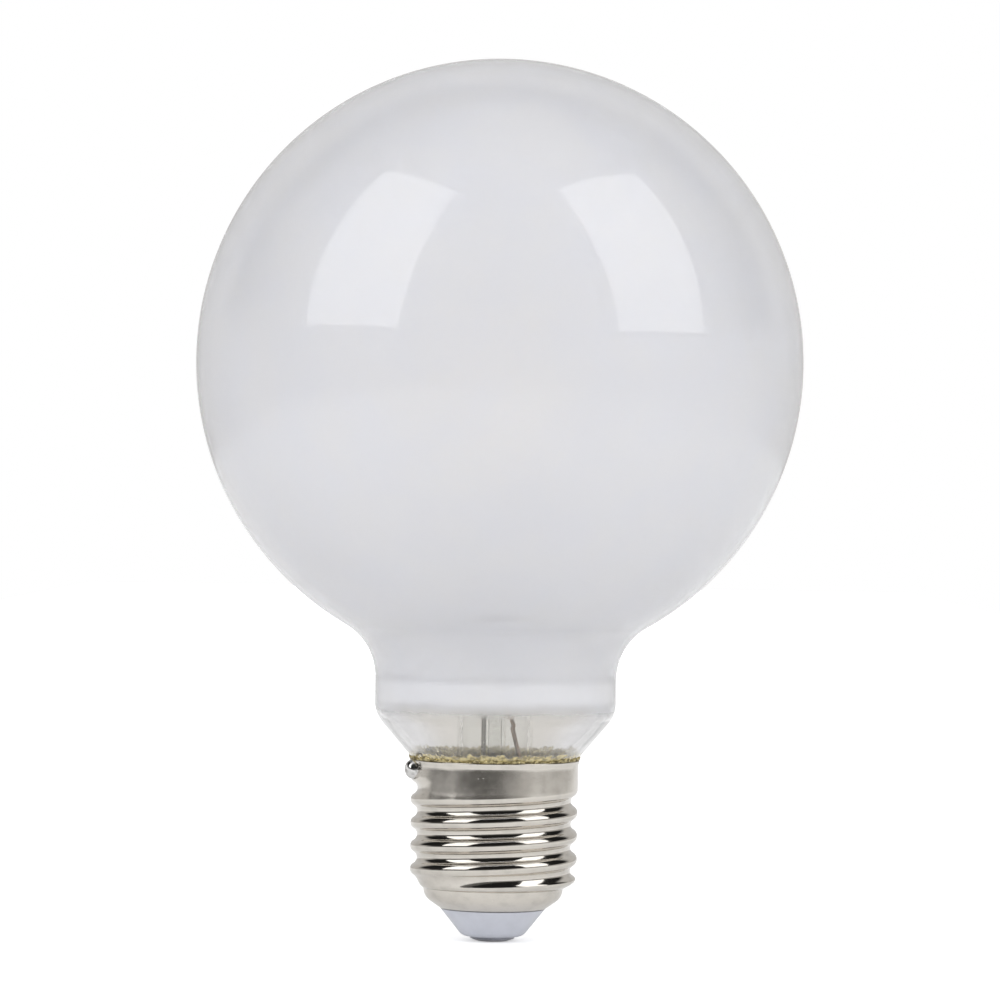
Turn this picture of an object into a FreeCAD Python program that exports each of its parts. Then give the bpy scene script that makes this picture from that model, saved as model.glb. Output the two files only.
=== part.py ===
"""Frosted LED filament globe lamp on an E27 screw cap, in millimetres, standing on its contact with +Z up."""

import FreeCAD
import Part
import os
from math import atan2, cos, floor, pi, radians, sin, sqrt

Vector = FreeCAD.Vector

# Glass globe and neck
globe_d = 95.0
glass_wall = 0.8
shoulder_r = 9.3
neck_d = 37.8
neck_h = 3.8
heel_r = 5.0
taper_h = 9.2
rim_gap = 0.1195652
taper_foot_r = 2.0
neck_end_h = 6.0

# Screw shell, pressed and rolled from sheet
thread_d = 26.2
thread_depth = 1.05
thread_pitch = 3.629
thread_h = 17.95
thread_runin = 1.0
groove_end_drop = 1.6
thread_runout = 1.9
first_crest = 1.05
collar_h = 2.2
rim_lip = 0.2
rim_lip_h = 0.9
rim_lip_r = 0.5
shell_wall = 0.3
waist_d = 21.9
bowl_h = 3.2
bowl_corner_h = 1.9
bowl_corner_r = 2.4
mouth_d = 16.4
section_points = 28
section_step = 0.3

# Insulator and centre contact
contact_d = 7.0
contact_flat_d = 4.6
contact_rise = 0.4
contact_wall = 0.35
contact_edge_r = 1.2
rivet_d = 3.0
rivet_head_d = 4.6
rivet_head_h = 0.5
insulator_h = 4.65
insulator_tip_d = 9.0
insulator_edge_r = 1.8
flange_lap = 0.9
flange_h = 0.8

# Cement and solder at the rim
cement_depth = 2.1
cement_bead_h = 0.9
cement_bead_lap = 0.1
cement_bead_r = 0.2
solder_d = 3.3
solder_drop = 1.45
solder_angle = 198.0
neutral_wire_d = 0.45
neutral_hole_inset = 1.5
neutral_bend_drop = 0.3
neutral_bend_rise = 1.2

# Glass stem
stem_d = 12.0
stem_wall = 0.9
flare_lip_h = 1.0
flare_h = 5.0
flare_r = 9.0
exhaust_d = 3.4
exhaust_bore_d = 2.0
exhaust_tip_h = 1.6
pinch_w = 12.4
pinch_t = 5.0
pinch_h = 5.6
pinch_corner_r = 1.6
pinch_loft_h = 5.0
post_d = 3.2
crown_bead_d = 5.6
crown_bead_h = 5.2

# Filament cage
cage_drop = 4.4
cage_turn = 14.0
foot_circle_d = 22.6
crown_circle_d = 15.2
filament_l = 38.0
tab_l = 3.5
filament_w = 2.2
filament_t = 1.8
filament_round = 0.5
filament_end_r = 0.25
tab_w = 0.9
tab_t = 0.25
crown_step = 1.5
crown_arm_run = 2.6
bar_d = 0.8
bar_end = 0.8
lead_d = 0.7
lead_spread = 6.8
lead_rise = 10.6
lead_bend_r = 1.2
lead_b_side = 4.1
lead_b_back = 2.0
lead_b_bend_h = 9.0

# Driver in the cap
board_gap = 1.5
board_margin = 0.8
board_t = 1.0
solder_tail = 0.6
capacitor_d = 8.0
capacitor_h = 8.4
capacitor_offset = 6.4
capacitor_angle = -40.0
capacitor_leg_d = 0.6
capacitor_leg_pitch = 3.5
capacitor_edge_r = 0.5
capacitor_groove_r = 0.4
capacitor_groove_depth = 0.25
capacitor_groove_drop = 1.6
bridge_l = 4.7
bridge_w = 3.9
bridge_h = 2.5
bridge_x = -5.5
bridge_y = 3.3
bridge_turn = 20.0
chip_l = 4.9
chip_w = 3.9
chip_h = 1.5
chip_x = -2.0
chip_y = -6.6
chip_turn = 10.0
resistor_l = 3.2
resistor_w = 1.6
resistor_h = 0.55
resistor_count = 4
resistor_pitch = 2.4
resistor_row_x = 2.4
resistor_row_y = 6.6
fuse_d = 2.5
fuse_l = 6.0
fuse_neck_d = 2.1
fuse_cap_h = 1.3
fuse_cap_slope = 0.4
fuse_edge_r = 0.4
fuse_neck_r = 0.2
fuse_lead_d = 0.6
fuse_top_gap = 1.6

# Fits between pieces that meet
fit = 0.02
hole_fit = 0.06
wire_gap = 0.1
sewing_gap = 0.002

# Heights of the cap, from the contact upwards
mouth_z = contact_rise + insulator_h
waist_z = mouth_z + bowl_h
thread_top_z = waist_z + thread_h
groove_end_z = thread_top_z - groove_end_drop
rim_z = thread_top_z + collar_h
thread_r = thread_d / 2
waist_r = waist_d / 2
mouth_r = mouth_d / 2
shell_in_r = thread_r - shell_wall
crest_z = waist_z + first_crest

# Heights of the glass, from the rim of the cap upwards
globe_r = globe_d / 2
neck_r = neck_d / 2
neck_end_r = thread_r - thread_depth - shell_wall - neutral_wire_d - 2 * wire_gap
rim_in_r = thread_r + rim_lip - shell_wall
taper_sink = (rim_in_r - rim_gap - neck_end_r) * taper_h / (neck_r - neck_end_r)
taper_z = rim_z - taper_sink
heel_z = taper_z + taper_h
taper_lean = atan2(neck_r - neck_end_r, taper_h)
neck_z = heel_z + heel_r * sin(taper_lean) / (1 + cos(taper_lean)) + neck_h
globe_z = neck_z + sqrt((globe_r + shoulder_r) ** 2 - (neck_r + shoulder_r) ** 2)
neck_end_z = taper_z - neck_end_h
flare_end_r = neck_end_r - glass_wall

# Heights of the filament cage, from the middle of the globe
foot_r = foot_circle_d / 2
crown_r = crown_circle_d / 2
lean_in = foot_r - crown_r
cage_h = sqrt(filament_l ** 2 - lean_in ** 2)
foot_z = globe_z - cage_drop - cage_h / 2
crown_z = foot_z + cage_h
bar_z = foot_z - bar_d / 2 - fit
arm_z = crown_z + lead_d / 2 + fit
pinch_top_z = bar_z - lead_rise
pinch_z = pinch_top_z - pinch_h
pinch_foot_z = pinch_z - pinch_loft_h
lead_r = lead_spread / 2
lead_angle = cage_turn + 45.0
bar_mid_r = foot_r * cos(radians(45.0))

# Heights of the driver board
board_top_z = neck_end_z - board_gap
board_z = board_top_z - board_t
board_r = thread_r - thread_depth - shell_wall - board_margin
fuse_top_z = board_z - fuse_top_gap
exhaust_tip_z = neck_end_z + exhaust_tip_h


def smooth(t):
    """Ease from 0 to 1 with level ends."""
    t = min(1.0, max(0.0, t))
    return t * t * (3 - 2 * t)


def polar(radius, angle, z):
    """Point at a radius and an angle in degrees about the lamp's axis."""
    return Vector(radius * cos(radians(angle)), radius * sin(radians(angle)), z)


def corner_arc(before, corner, after, radius):
    """Arc that rounds a corner, touching both of its legs."""
    leg_in = (before - corner).normalize()
    leg_out = (after - corner).normalize()
    half = leg_in.getAngle(leg_out) / 2
    reach = radius * cos(half) / sin(half)
    middle = (leg_in + leg_out).normalize() * (radius / sin(half) - radius)
    return Part.Arc(corner + leg_in * reach, corner + middle, corner + leg_out * reach)


def rounded(points, radii, closed=False):
    """Edges of lines through points, each corner rounded by its own radius where that is not zero."""
    count = len(points)
    ends = []
    arcs = []
    for i in range(count):
        inner = closed or 0 < i < count - 1
        arc = None
        if inner and radii[i] > 0:
            arc = corner_arc(points[i - 1], points[i], points[(i + 1) % count], radii[i])
        arcs.append(arc)
        ends.append((arc.StartPoint, arc.EndPoint) if arc else (points[i], points[i]))
    edges = []
    for i in range(count):
        if arcs[i]:
            edges.append(arcs[i].toShape())
        if closed or i < count - 1:
            start = ends[i][1]
            stop = ends[(i + 1) % count][0]
            if start.distanceToPoint(stop) > 1e-6:
                edges.append(Part.makeLine(start, stop))
    return edges


def section(path):
    """Points in the X-Z plane, and corner radii, of a path of (radius, height, corner radius)."""
    return [Vector(r, 0, z) for r, z, c in path], [c for r, z, c in path]


def spin(edges):
    """Solid turned about the lamp's axis from a closed outline."""
    face = Part.Face(Part.Wire(Part.__sortEdges__(edges)))
    return face.revolve(Vector(0, 0, 0), Vector(0, 0, 1), 360)


def lathe(path):
    """Solid turned from a closed path of (radius, height, corner radius)."""
    return spin(rounded(*section(path), closed=True))


def beside(path, gap):
    """The path moved to its left by a gap, its corner radii changed to match."""
    moved = []
    for i, (r, z, corner) in enumerate(path):
        normals = []
        for a, b in ((i - 1, i), (i, i + 1)):
            if a >= 0 and b < len(path):
                step = Vector(path[b][0] - path[a][0], 0, path[b][1] - path[a][1]).normalize()
                normals.append(Vector(-step.z, 0, step.x))
        total = normals[0] + normals[-1]
        total = total * (2 * gap / total.dot(total))
        bend = normals[0].x * normals[-1].z - normals[0].z * normals[-1].x
        change = 0 if corner == 0 else (-gap if bend > 0 else gap)
        moved.append((r + total.x, z + total.z, corner + change))
    return moved


def sheet(path, wall):
    """Turned sheet of even wall, the wall lying to the left of the path."""
    return lathe(path + beside(path, wall)[::-1])


def bent_wire(points, wire_d, bend_r):
    """Round wire along straight runs joined by bends."""
    radii = [0] + [bend_r] * (len(points) - 2) + [0]
    spine = Part.Wire(rounded(points, radii))
    ring = Part.Circle(points[0], points[1] - points[0], wire_d / 2)
    return spine.makePipeShell([Part.Wire([ring.toShape()])], True, False)


def straight_wire(start, stop, wire_d):
    """Round wire from point to point."""
    return Part.makeCylinder(wire_d / 2, (stop - start).Length, start, stop - start)


def upright(radius, low, high, x=0.0, y=0.0):
    """Upright round bar between two heights."""
    return Part.makeCylinder(radius, high - low, Vector(x, y, low))


def block(length, width, low, high, x, y, angle=0.0):
    """Box on the driver board, centred at x and y and turned about its own middle."""
    box = Part.makeBox(length, width, high - low, Vector(x - length / 2, y - width / 2, low))
    return box.rotated(Vector(x, y, 0), Vector(0, 0, 1), angle)


def save(node, shape):
    """One STEP file for one piece."""
    shape.exportStep("parts/" + node + ".step")


# Glass globe, neck and the plain end inside the cap
def globe_outline(inset):
    """Outline of the glass from the end of the neck to the crown, at a depth inside its outer face."""
    neck = [
        (neck_end_r, neck_end_z, 0),
        (neck_end_r, taper_z, taper_foot_r),
        (neck_r, heel_z, heel_r),
        (neck_r, neck_z, 0),
    ]
    edges = rounded(*section(beside(neck, inset)))
    pivot = Vector(neck_r + shoulder_r, 0, neck_z)
    lean = atan2(globe_z - neck_z, -pivot.x)
    blend = [pivot + Vector(cos(a), 0, sin(a)) * (shoulder_r + inset) for a in (pi, (pi + lean) / 2, lean)]
    edges.append(Part.Arc(*blend).toShape())
    middle = Vector(0, 0, globe_z)
    start = lean - pi
    turns = (start, (start + pi / 2) / 2, pi / 2)
    ball = [middle + Vector(cos(a), 0, sin(a)) * (globe_r - inset) for a in turns]
    edges.append(Part.Arc(*ball).toShape())
    return edges


outer = globe_outline(0)
inner = globe_outline(glass_wall)
crown_cut = Part.makeLine(Vector(0, 0, globe_z + globe_r - glass_wall), Vector(0, 0, globe_z + globe_r))
foot_cut = Part.makeLine(Vector(flare_end_r, 0, neck_end_z), Vector(neck_end_r, 0, neck_end_z))
glass_globe = spin(outer + inner + [crown_cut, foot_cut])
axis_line = Part.makeLine(Vector(0, 0, neck_end_z), Vector(0, 0, globe_z + globe_r))
floor_line = Part.makeLine(Vector(0, 0, neck_end_z), Vector(neck_end_r, 0, neck_end_z))
glass_body = spin(outer + [axis_line, floor_line])


# Screw shell: rolled round thread between a plain collar with a wire hole and a drawn bowl
def thread_fall(offset):
    """Fall below the crest at a distance along the axis: a crest arc running into a root arc."""
    half = thread_pitch / 2
    arc_r = (half ** 2 + thread_depth ** 2) / (4 * thread_depth)
    if offset <= half / 2:
        return arc_r - sqrt(arc_r ** 2 - offset ** 2)
    return thread_depth - arc_r + sqrt(arc_r ** 2 - (half - offset) ** 2)


def thread_radius(angle, z):
    """Outer radius of the rolled thread: its last groove dies out along the turn, its first in the bowl."""
    turns = (z - crest_z) / thread_pitch - angle / (2 * pi)
    offset = abs(turns - round(turns)) * thread_pitch
    groove_z = z + (floor(turns) + 0.5 - turns) * thread_pitch
    kept = smooth((groove_end_z - groove_z) / thread_runin)
    kept = kept * smooth((thread_top_z - z) / thread_runin)
    radius = thread_r - thread_fall(offset) * kept
    out = min(1.0, max(0.0, (z - waist_z) / thread_runout))
    return waist_r + (radius - waist_r) * out * (2 - out)


def thread_point(angle, z, inset):
    """Point of the thread at a depth square to its outer face; the end rings stay level."""
    radius = thread_radius(angle, z)
    slope = 0.0
    if waist_z < z < thread_top_z:
        slope = (thread_radius(angle, z + fit) - thread_radius(angle, z - fit)) / (2 * fit)
    depth = inset / sqrt(1 + slope ** 2)
    radius = radius - depth
    return Vector(radius * cos(angle), radius * sin(angle), z + depth * slope)


def thread_face(inset):
    """Smooth face of the rolled thread through rings of points, closed round the axis."""
    count = round(thread_h / section_step)
    heights = [waist_z + thread_h * i / count for i in range(count + 1)]
    angles = [2 * pi * k / section_points for k in range(section_points)]
    rings = []
    for z in heights:
        ring = Part.BSplineCurve()
        points = [thread_point(a, z, inset) for a in angles]
        ring.interpolate(Points=points, Parameters=angles + [2 * pi], PeriodicFlag=True)
        rings.append(ring)
    columns = []
    for k in range(rings[0].NbPoles):
        column = Part.BSplineCurve()
        column.interpolate(Points=[ring.getPole(k + 1) for ring in rings], Parameters=heights)
        columns.append(column)
    face = Part.BSplineSurface()
    face.buildFromPolesMultsKnots(
        [column.getPoles() for column in columns],
        rings[0].getMultiplicities(), columns[0].getMultiplicities(),
        rings[0].getKnots(), columns[0].getKnots(),
        True, False, 3, 3)
    return face.toShape()


def spun_skin(path):
    """Faces turned from an open path."""
    wire = Part.Wire(rounded(*section(path)))
    return wire.revolve(Vector(0, 0, 0), Vector(0, 0, 1), 360).Faces


bowl_path = [
    (mouth_r, mouth_z, 0),
    (waist_r, mouth_z + bowl_corner_h, bowl_corner_r),
    (waist_r, waist_z, 0),
]
collar_path = [
    (thread_r, thread_top_z, 0),
    (thread_r, rim_z - rim_lip_h, rim_lip_r),
    (thread_r + rim_lip, rim_z - rim_lip_h / 4, rim_lip_r),
    (thread_r + rim_lip, rim_z, 0),
]
block_z = thread_top_z - solder_d
rim_block = lathe([(0, block_z, 0), (thread_r, block_z, 0)] + collar_path[1:] + [(0, rim_z, 0)])
wire_r = neutral_wire_d / 2
solder_z = rim_z - solder_drop
hole_r = wire_r + wire_gap
hole_foot = polar(shell_in_r - shell_wall, solder_angle, solder_z)
wire_hole = Part.makeCylinder(hole_r, 3 * shell_wall, hole_foot, polar(1, solder_angle, 0))
hole_plug = wire_hole.common(rim_block).cut(upright(shell_in_r, thread_top_z, rim_z))
skin = spun_skin(bowl_path[::-1] + beside(bowl_path, shell_wall))
for face in spun_skin(collar_path + beside(collar_path, shell_wall)[::-1]):
    skin += face.cut(wire_hole).Faces
skin += [face for face in hole_plug.Faces if abs(face.Surface.Radius - hole_r) < fit]
skin += [thread_face(0), thread_face(shell_wall)]
sewn = Part.Compound(skin)
sewn.sewShape(sewing_gap)
screw_shell = Part.Solid(sewn.Shells[0])

# Centre contact: dished cap with a hollow rivet shank clenched inside the insulator
contact_r = contact_d / 2
contact_path = [
    (contact_r, contact_rise, 0),
    (contact_flat_d / 2, 0, contact_edge_r),
    (0, 0, 0),
]
seat_r, seat_z, seat_corner = beside(bowl_path, shell_wall + fit)[0]
flange_z = seat_z + flange_lap * bowl_corner_h / (waist_r - mouth_r)
flange_top_z = flange_z + flange_h
rivet_r = rivet_d / 2
rivet_bore_r = rivet_r - contact_wall
clench_z = flange_top_z + fit
contact_dish = lathe(contact_path + [(0, contact_wall, 0)] + beside(contact_path, -contact_wall)[1::-1])
contact_shank = upright(rivet_r, contact_wall / 2, clench_z + rivet_head_h)
contact_head = upright(rivet_head_d / 2, clench_z, clench_z + rivet_head_h)
shank_bore = upright(rivet_bore_r, contact_wall, clench_z + 2 * rivet_head_h)
centre_contact = contact_dish.fuse(contact_shank).fuse(contact_head).cut(shank_bore)

# Moulded insulator: hollow cone with a flange held inside the mouth of the shell
tip_r = insulator_tip_d / 2
flange_r = seat_r + flange_lap
insulator_body = lathe([
    (0, contact_wall + fit, 0),
    (contact_flat_d / 2, contact_wall + fit, 0),
    (contact_r, contact_rise + contact_wall, 0),
    (tip_r, contact_rise + fit, insulator_edge_r),
    (mouth_r, mouth_z - fit, 0),
    (seat_r, mouth_z - fit, 0),
    (seat_r, seat_z, 0),
    (flange_r, flange_z, 0),
    (flange_r, flange_top_z, 0),
    (0, flange_top_z, 0),
])
rivet_hole = upright(rivet_r + hole_fit, 0, flange_top_z + 1)
cap_insulator = insulator_body.cut(rivet_hole).cut(centre_contact)

# Neutral wire, up between glass and shell and out through the hole in the collar
gap_r = neck_end_r + wire_gap + wire_r
climb_r = shell_in_r - wire_gap - wire_r
under_z = board_top_z + board_gap / 2
neutral_hole_r = board_r - neutral_hole_inset
neutral_path = [
    (neutral_hole_r, board_z - solder_tail),
    (neutral_hole_r, under_z),
    (gap_r, under_z),
    (gap_r, groove_end_z - neutral_bend_drop),
    (climb_r, groove_end_z + neutral_bend_rise),
    (climb_r, solder_z),
    (thread_r + solder_d / 4, solder_z),
]
neutral_points = [polar(r, solder_angle, z) for r, z in neutral_path]
neutral_wire = bent_wire(neutral_points, neutral_wire_d, neutral_wire_d)

# Solder bead that joins the neutral wire to the collar
solder_middle = polar(thread_r, solder_angle, solder_z)
solder_ball = Part.makeSphere(solder_d / 2, solder_middle, polar(1, solder_angle, 0))
side_solder = solder_ball.cut([rim_block, glass_body, neutral_wire])

# Cement between neck and collar, with the bead that oozes out over the rim
cement_in_r = neck_end_r - glass_wall / 2
cement_side = beside(collar_path, shell_wall + fit)
bead_r = thread_r + rim_lip + cement_bead_lap
bead_top_z = rim_z + cement_bead_h
capping_cement = lathe([
    (cement_in_r, rim_z - cement_depth, 0),
    (cement_side[0][0], rim_z - cement_depth, 0),
    *cement_side[1:-1],
    (cement_side[-1][0], rim_z + fit, 0),
    (bead_r, rim_z + fit, cement_bead_r),
    (bead_r, rim_z + cement_bead_h / 2, cement_bead_r),
    (neck_end_r + (cement_bead_h + taper_sink) * (neck_r - neck_end_r) / taper_h + fit, bead_top_z, 0),
    (cement_in_r, bead_top_z, 0),
])
capping_cement = capping_cement.cut([glass_body, neutral_wire, solder_ball])

# Filament cage: where the feet and crowns of the filaments stand
foot_angles = [cage_turn + 90.0 * k for k in range(4)]
feet = [polar(foot_r, a, foot_z) for a in foot_angles]
crowns = [polar(crown_r, a, crown_z) for a in foot_angles]


def rounded_bar(width, thickness, length, corner, end):
    """Bar along Z with rounded long edges and rounded ends, centred on the origin."""
    w = width / 2
    t = thickness / 2
    low = -length / 2
    corners = [Vector(-w, -t, low), Vector(w, -t, low), Vector(w, t, low), Vector(-w, t, low)]
    face = Part.Face(Part.Wire(rounded(corners, [corner] * 4, closed=True)))
    bar = face.extrude(Vector(0, 0, length))
    rims = [e for f in bar.Faces if abs(abs(f.normalAt(0, 0).z) - 1) < 1e-6 for e in f.Edges]
    return bar.makeFillet(end, rims)


def stand(shape, foot, crown, angle):
    """Copy of a piece built along Z, stood between a foot and a crown and facing outwards."""
    along = (crown - foot).normalize()
    across = Vector(-sin(radians(angle)), cos(radians(angle)), 0)
    turn = FreeCAD.Rotation(across, Vector(0, 0, 0), along, "ZXY")
    copy = shape.copy()
    copy.Placement = FreeCAD.Placement((foot + crown) * 0.5, turn)
    return copy


filament_coat_l = filament_l - 2 * (tab_l + fit)
coat_bar = rounded_bar(filament_w, filament_t, filament_coat_l, filament_round, filament_end_r)
tab_low = Part.makeBox(tab_w, tab_t, tab_l, Vector(-tab_w / 2, -tab_t / 2, -filament_l / 2))
tab_high = Part.makeBox(tab_w, tab_t, tab_l, Vector(-tab_w / 2, -tab_t / 2, filament_l / 2 - tab_l))
coats = [stand(coat_bar, f, c, a) for f, c, a in zip(feet, crowns, foot_angles)]
tabs = [stand(Part.Compound([tab_low, tab_high]), f, c, a) for f, c, a in zip(feet, crowns, foot_angles)]

# Bars under the filaments, each joining a pair of feet
bars = []
for first, second in ((0, 1), (2, 3)):
    start = Vector(feet[first].x, feet[first].y, bar_z)
    stop = Vector(feet[second].x, feet[second].y, bar_z)
    reach = (stop - start).normalize() * bar_end
    bars.append(straight_wire(start - reach, stop + reach, bar_d))

# Crown wires through the bead, each joining opposite filaments, the upper one stepped over the lower
crown_arms = []
for first, step in ((0, 0.0), (1, crown_step)):
    angle = foot_angles[first]
    run_r = crown_r - crown_arm_run
    crown_path = [
        polar(crown_r + lead_d, angle, arm_z),
        polar(crown_r - lead_d, angle, arm_z),
        polar(run_r - lead_d, angle, arm_z + step),
        polar(lead_d - run_r, angle, arm_z + step),
        polar(lead_d - crown_r, angle, arm_z),
        polar(-crown_r - lead_d, angle, arm_z),
    ]
    if step == 0:
        crown_path = [crown_path[0], crown_path[-1]]
    crown_arms.append(bent_wire(crown_path, lead_d, lead_d))

# Lead wires from the driver board through the pinch and out to the bars
lead_tip_z = bar_z - bar_d / 2 - fit
lead_turn_z = lead_tip_z - lead_rise / 4
lead_exit_z = pinch_top_z + lead_rise / 5
lead_paths = []
for angle, low_run in ((lead_angle + 180.0, False), (lead_angle, True)):
    path = [
        polar(bar_mid_r, angle, lead_tip_z),
        polar(bar_mid_r, angle, lead_turn_z),
        polar(lead_r, angle, lead_exit_z),
    ]
    if low_run:
        path.append(polar(lead_r, angle, taper_z + taper_h + lead_b_bend_h / 5))
        path.append(Vector(lead_b_side, lead_b_back, taper_z + taper_h - lead_b_bend_h * 4 / 5))
        path.append(Vector(lead_b_side, lead_b_back, board_z - solder_tail))
    else:
        path.append(polar(lead_r, angle, board_z - solder_tail))
    lead_paths.append(path)
leads = [bent_wire(path, lead_d, lead_bend_r) for path in lead_paths]

# Glass stem: flare sealed in the end of the neck, tube, pinch, exhaust tube and post with its bead
stem_r = stem_d / 2
flare_path = [
    (flare_end_r, neck_end_z, 0),
    (flare_end_r, neck_end_z + flare_lip_h, 0),
    (stem_r, neck_end_z + flare_lip_h + flare_h, flare_r),
    (stem_r, pinch_foot_z, 0),
]
stem_tube = sheet(flare_path, stem_wall)
pinch_half_w = pinch_w / 2
pinch_half_t = pinch_t / 2
pinch_corners = [
    Vector(-pinch_half_w, -pinch_half_t, 0),
    Vector(pinch_half_w, -pinch_half_t, 0),
    Vector(pinch_half_w, pinch_half_t, 0),
    Vector(-pinch_half_w, pinch_half_t, 0),
]
pinch_wire = Part.Wire(rounded(pinch_corners, [pinch_corner_r] * 4, closed=True))
pinch_wire = pinch_wire.translated(Vector(0, 0, pinch_z))
pinch_ring = Part.Wire([Part.Circle(Vector(0, 0, pinch_foot_z), Vector(0, 0, 1), stem_r).toShape()])
pinch_press = Part.makeLoft([pinch_ring, pinch_wire], True, True)
pinch_block = Part.Face(pinch_wire).extrude(Vector(0, 0, pinch_h))
pinch = pinch_press.fuse(pinch_block).rotated(Vector(0, 0, 0), Vector(0, 0, 1), lead_angle)
exhaust_r = exhaust_d / 2
exhaust_tube = lathe([
    (0, exhaust_tip_z, 0),
    (exhaust_r, exhaust_tip_z, exhaust_r * 0.8),
    (exhaust_r, pinch_foot_z, 0),
    (0, pinch_foot_z, 0),
])
exhaust_bore = upright(exhaust_bore_d / 2, exhaust_tip_z + exhaust_r, pinch_foot_z + stem_wall)
crown_bead_low = arm_z + crown_step / 2 - crown_bead_h / 2
post = upright(post_d / 2, pinch_top_z - fit, crown_bead_low + fit)
crown_bead_r = crown_bead_d / 2
crown_bead = lathe([
    (0, crown_bead_low, 0),
    (crown_bead_r, crown_bead_low, crown_bead_r * 0.6),
    (crown_bead_r, crown_bead_low + crown_bead_h, crown_bead_r * 0.6),
    (0, crown_bead_low + crown_bead_h, 0),
])
glass_stem = stem_tube.fuse([pinch, exhaust_tube, post, crown_bead])
glass_stem = glass_stem.cut([exhaust_bore] + crown_arms + leads)

# Driver board with holes for every wire that passes through it
fuse_r = fuse_d / 2
capacitor_spot = polar(capacitor_offset, capacitor_angle, 0)
leg_spots = []
for side in (-1, 1):
    leg_spots.append((capacitor_spot.x, capacitor_spot.y + side * capacitor_leg_pitch / 2))
driver_board = upright(board_r, board_z, board_top_z)
hole_spots = [(0.0, 0.0, fuse_lead_d)]
hole_spots += [(x, y, capacitor_leg_d) for x, y in leg_spots]
hole_spots += [(path[-1].x, path[-1].y, lead_d) for path in lead_paths]
hole_spots.append((neutral_points[0].x, neutral_points[0].y, neutral_wire_d))
for x, y, hole_d in hole_spots:
    driver_board = driver_board.cut(upright(hole_d / 2 + hole_fit, board_z - 1, board_top_z + 1, x, y))

# Parts hanging under the board
capacitor_r = capacitor_d / 2
capacitor_top_z = board_z - fit
groove_ring_r = capacitor_r + capacitor_groove_r - capacitor_groove_depth
groove_middle = Vector(0, 0, capacitor_top_z - capacitor_groove_drop)
capacitor_groove = Part.makeTorus(groove_ring_r, capacitor_groove_r, groove_middle)
capacitor_can = lathe([
    (0, capacitor_top_z, 0),
    (capacitor_r, capacitor_top_z, capacitor_edge_r),
    (capacitor_r, capacitor_top_z - capacitor_h, capacitor_edge_r),
    (0, capacitor_top_z - capacitor_h, 0),
]).cut(capacitor_groove)
smoothing_capacitor = capacitor_can.translated(capacitor_spot)
leg_top_z = board_top_z + solder_tail
leg_pegs = [upright(capacitor_leg_d / 2, capacitor_top_z, leg_top_z, x, y) for x, y in leg_spots]
capacitor_legs = Part.Compound(leg_pegs)
part_top_z = board_z - fit
bridge_low_z = part_top_z - bridge_h
bridge_rectifier = block(bridge_l, bridge_w, bridge_low_z, part_top_z, bridge_x, bridge_y, bridge_turn)
chip_low_z = part_top_z - chip_h
driver_chip = block(chip_l, chip_w, chip_low_z, part_top_z, chip_x, chip_y, chip_turn)
resistors = []
for k in range(resistor_count):
    x = resistor_row_x + resistor_pitch * (k - (resistor_count - 1) / 2)
    low = part_top_z - resistor_h
    resistors.append(block(resistor_w, resistor_l, low, part_top_z, x, resistor_row_y))
chip_resistors = Part.Compound(resistors)

# Fuse resistor on the axis, its leads reaching the board and the rivet of the contact
fuse_low_z = fuse_top_z - fuse_l
fuse_neck_low_z = fuse_low_z + fuse_cap_h + fuse_cap_slope
fuse_neck_top_z = fuse_top_z - fuse_cap_h - fuse_cap_slope
fuse_resistor = lathe([
    (0, fuse_low_z, 0),
    (fuse_r, fuse_low_z, fuse_edge_r),
    (fuse_r, fuse_low_z + fuse_cap_h, fuse_neck_r),
    (fuse_neck_d / 2, fuse_neck_low_z, fuse_neck_r),
    (fuse_neck_d / 2, fuse_neck_top_z, fuse_neck_r),
    (fuse_r, fuse_top_z - fuse_cap_h, fuse_neck_r),
    (fuse_r, fuse_top_z, fuse_edge_r),
    (0, fuse_top_z, 0),
])
fuse_leads = Part.Compound([
    upright(fuse_lead_d / 2, fuse_top_z + fit, board_top_z + solder_tail),
    upright(fuse_lead_d / 2, contact_wall + fit, fuse_low_z - fit),
])

# One file for each piece
os.makedirs("parts", exist_ok=True)
pieces = {
    "glass_globe": glass_globe,
    "glass_stem": glass_stem,
    "lead_wire_a": leads[0],
    "lead_wire_b": leads[1],
    "filament_bar_a": bars[0],
    "filament_bar_b": bars[1],
    "crown_wire_lower": crown_arms[0],
    "crown_wire_upper": crown_arms[1],
    "capping_cement": capping_cement,
    "side_solder": side_solder,
    "screw_shell": screw_shell,
    "cap_insulator": cap_insulator,
    "centre_contact": centre_contact,
    "neutral_wire": neutral_wire,
    "driver_board": driver_board,
    "bridge_rectifier": bridge_rectifier,
    "driver_chip": driver_chip,
    "smoothing_capacitor": smoothing_capacitor,
    "capacitor_legs": capacitor_legs,
    "chip_resistors": chip_resistors,
    "fuse_resistor": fuse_resistor,
    "fuse_leads": fuse_leads,
}
for k in range(4):
    pieces["led_filament_%d" % (k + 1)] = coats[k]
    pieces["filament_tabs_%d" % (k + 1)] = tabs[k]
for node, shape in pieces.items():
    save(node, shape)
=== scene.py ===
"""Looks of a frosted filament globe lamp on a screw cap, built round its packed solids."""

from math import atan2, cos, exp, floor, pi, radians, sin, sqrt, tan

import bpy
from bpy.props import FloatProperty, FloatVectorProperty, IntProperty, PointerProperty
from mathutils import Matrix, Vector, noise


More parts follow.
